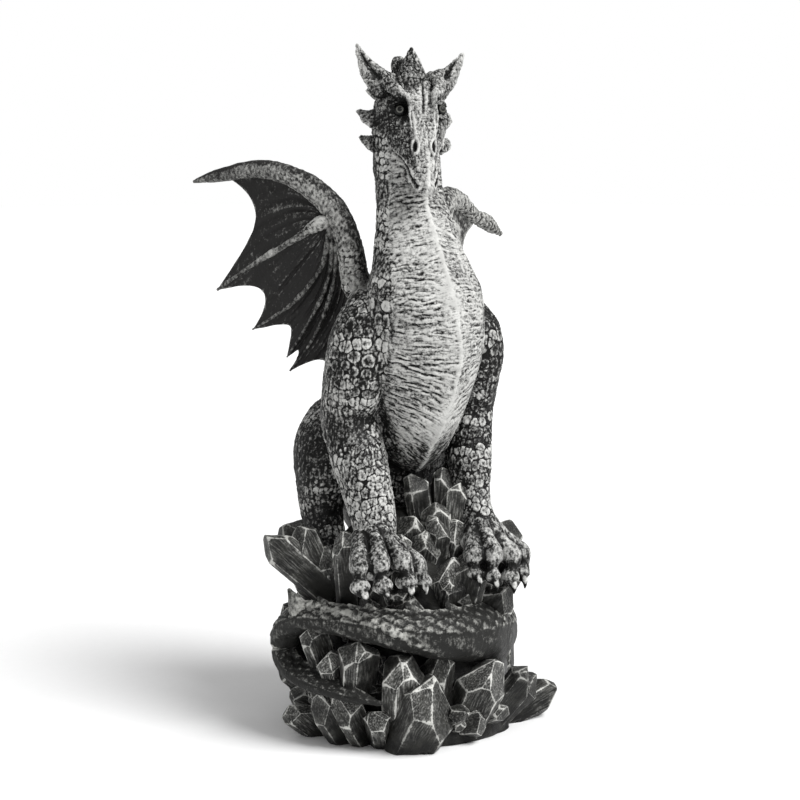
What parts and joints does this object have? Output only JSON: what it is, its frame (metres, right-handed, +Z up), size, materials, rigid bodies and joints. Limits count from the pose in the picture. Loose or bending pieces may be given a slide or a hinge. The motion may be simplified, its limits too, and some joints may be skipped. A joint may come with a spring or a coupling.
{
  "type": "dragon statue",
  "caption": "Painted cast statue of a seated dragon with spread wings, its tail laid round a rock of quartz crystals.",
  "frame": {"origin": "on the flat underside, below the middle of the rock", "axes": "+Z up; the dragon's chest faces -Y, its left side is +X"},
  "size_m": [0.3044, 0.2685, 0.6004],
  "materials": {
    "painted_casting": "cast resin painted near-black and dry-brushed light grey, matt to satin",
    "painted_wing": "cast resin painted brown-black, lightly dry-brushed grey on its ribs and arm, matt to satin"
  },
  "bodies": {
    "root": {"dragon_on_crystal_rock": "painted_casting", "right_wing": "painted_wing", "left_wing": "painted_wing"}
  },
  "joints": []
}
